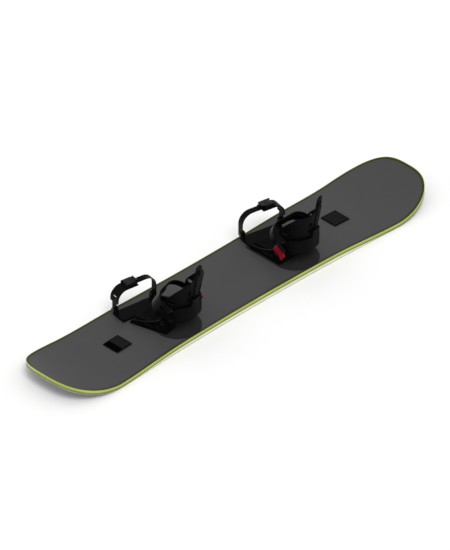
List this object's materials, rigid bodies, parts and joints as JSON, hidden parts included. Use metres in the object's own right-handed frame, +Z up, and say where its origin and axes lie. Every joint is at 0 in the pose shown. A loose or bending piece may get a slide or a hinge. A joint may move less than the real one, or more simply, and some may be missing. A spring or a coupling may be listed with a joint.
{
  "type": "snowboard",
  "caption": "Wide flat-based snowboard with turned-up ends, strap bindings on long base pads, folding highbacks, ratchet straps and stomp pads.",
  "frame": {"origin": "middle of the board, on the snow side of its flat base", "axes": "+X along the board towards the tail end, +Y to the toe edge, +Z up from the base"},
  "size_m": [1.56, 0.302, 0.277],
  "materials": {
    "deck": "satin lacquered topsheet",
    "laminate": "glass laminate",
    "band": "gloss lime edge band",
    "sidewall": "pale plastic sidewall",
    "core": "laminated wood",
    "running_base": "sintered base",
    "edge_steel": "ground steel",
    "hardware": "plated steel",
    "grip_rubber": "matt rubber",
    "disc_plastic": "moulded pad",
    "binding_plastic": "glass filled nylon",
    "foot_foam": "grey foam",
    "pad_foam": "foam under fabric",
    "strap_plastic": "flexible plastic",
    "buckle": "moulded buckle",
    "red_lever": "red moulded lever"
  },
  "bodies": {
    "board": {"topsheet": "deck", "top_laminate": "laminate", "edge_band": "band", "toe_sidewall": "sidewall", "heel_sidewall": "sidewall", "wood_core": "core", "bottom_laminate": "laminate", "base_sheet": "running_base", "steel_edges": "edge_steel", "left_inserts": "hardware", "right_inserts": "hardware", "left_stomp_pad": "grip_rubber", "right_stomp_pad": "grip_rubber", "left_base_pad": "disc_plastic", "left_baseplate": "binding_plastic", "left_mounting_disc": "binding_plastic", "left_disc_screws": "hardware", "left_footbed": "foot_foam", "left_heel_hoop": "binding_plastic", "left_hoop_screws": "hardware", "left_pivot_bolts": "hardware", "left_ankle_bolts": "hardware", "left_toe_bolts": "hardware", "right_base_pad": "disc_plastic", "right_baseplate": "binding_plastic", "right_mounting_disc": "binding_plastic", "right_disc_screws": "hardware", "right_footbed": "foot_foam", "right_heel_hoop": "binding_plastic", "right_hoop_screws": "hardware", "right_pivot_bolts": "hardware", "right_ankle_bolts": "hardware", "right_toe_bolts": "hardware"},
    "left_highback": {"left_highback": "binding_plastic", "left_highback_pad": "pad_foam"},
    "left_lean_adjuster": {"left_lean_adjuster": "binding_plastic"},
    "left_ankle_strap": {"left_ankle_strap": "strap_plastic", "left_ankle_pad": "pad_foam", "left_ankle_ladder": "strap_plastic", "left_ankle_link": "strap_plastic", "left_ankle_buckle": "buckle"},
    "left_ankle_lever": {"left_ankle_lever": "red_lever"},
    "left_toe_strap": {"left_toe_strap": "strap_plastic", "left_toe_ladder": "strap_plastic", "left_toe_buckle": "buckle"},
    "left_toe_lever": {"left_toe_lever": "buckle"},
    "right_highback": {"right_highback": "binding_plastic", "right_highback_pad": "pad_foam"},
    "right_lean_adjuster": {"right_lean_adjuster": "binding_plastic"},
    "right_ankle_strap": {"right_ankle_strap": "strap_plastic", "right_ankle_pad": "pad_foam", "right_ankle_ladder": "strap_plastic", "right_ankle_link": "strap_plastic", "right_ankle_buckle": "buckle"},
    "right_ankle_lever": {"right_ankle_lever": "red_lever"},
    "right_toe_strap": {"right_toe_strap": "strap_plastic", "right_toe_ladder": "strap_plastic", "right_toe_buckle": "buckle"},
    "right_toe_lever": {"right_toe_lever": "buckle"}
  },
  "joints": [
    {"name": "left_highback_fold", "type": "hinge", "parent": "board", "child": "left_highback", "pos_m": [-0.26509, -0.04443, 0.066], "axis": [-0.9659, -0.2588, 0], "range_deg": [0, 6]},
    {"name": "left_lean_slide", "type": "slide", "parent": "left_highback", "child": "left_lean_adjuster", "axis": [0.0088, -0.1674, 0.9859], "range_m": [0, 0.015]},
    {"name": "left_ankle_strap_swing", "type": "hinge", "parent": "board", "child": "left_ankle_strap", "pos_m": [-0.25837, -0.06955, 0.082], "axis": [-0.9659, -0.2588, 0], "range_deg": [-3, 5]},
    {"name": "left_ankle_lever_lift", "type": "hinge", "parent": "left_ankle_strap", "child": "left_ankle_lever", "pos_m": [-0.18335, -0.03035, 0.09398], "axis": [0.141, -0.5261, 0.8387], "range_deg": [0, 70]},
    {"name": "left_toe_strap_swing", "type": "hinge", "parent": "board", "child": "left_toe_strap", "pos_m": [-0.30571, 0.09169, 0.054], "axis": [-0.9877, 0.1564, 0], "range_deg": [-20, 30]},
    {"name": "left_toe_lever_lift", "type": "hinge", "parent": "left_toe_strap", "child": "left_toe_lever", "pos_m": [-0.33534, 0.09639, 0.1325], "axis": [-0.1564, -0.9877, 0], "range_deg": [0, 70]},
    {"name": "right_highback_fold", "type": "hinge", "parent": "board", "child": "right_highback", "pos_m": [0.24, -0.046, 0.066], "axis": [-1, 0, 0], "range_deg": [0, 6]},
    {"name": "right_lean_slide", "type": "slide", "parent": "right_highback", "child": "right_lean_adjuster", "axis": [0.0348, -0.1639, 0.9859], "range_m": [0, 0.015]},
    {"name": "right_ankle_strap_swing", "type": "hinge", "parent": "board", "child": "right_ankle_strap", "pos_m": [0.24, -0.072, 0.082], "axis": [-1, 0, 0], "range_deg": [-3, 5]},
    {"name": "right_ankle_lever_lift", "type": "hinge", "parent": "right_ankle_strap", "child": "right_ankle_lever", "pos_m": [0.1574, -0.05355, 0.09398], "axis": [0, 0.5446, -0.8387], "range_deg": [0, 70]},
    {"name": "right_toe_strap_swing", "type": "hinge", "parent": "board", "child": "right_toe_strap", "pos_m": [0.244, 0.096, 0.054], "axis": [-0.9781, 0.2079, 0], "range_deg": [-20, 30]},
    {"name": "right_toe_lever_lift", "type": "hinge", "parent": "right_toe_strap", "child": "right_toe_lever", "pos_m": [0.27334, 0.08976, 0.1325], "axis": [0.2079, 0.9781, 0], "range_deg": [0, 70]}
  ]
}
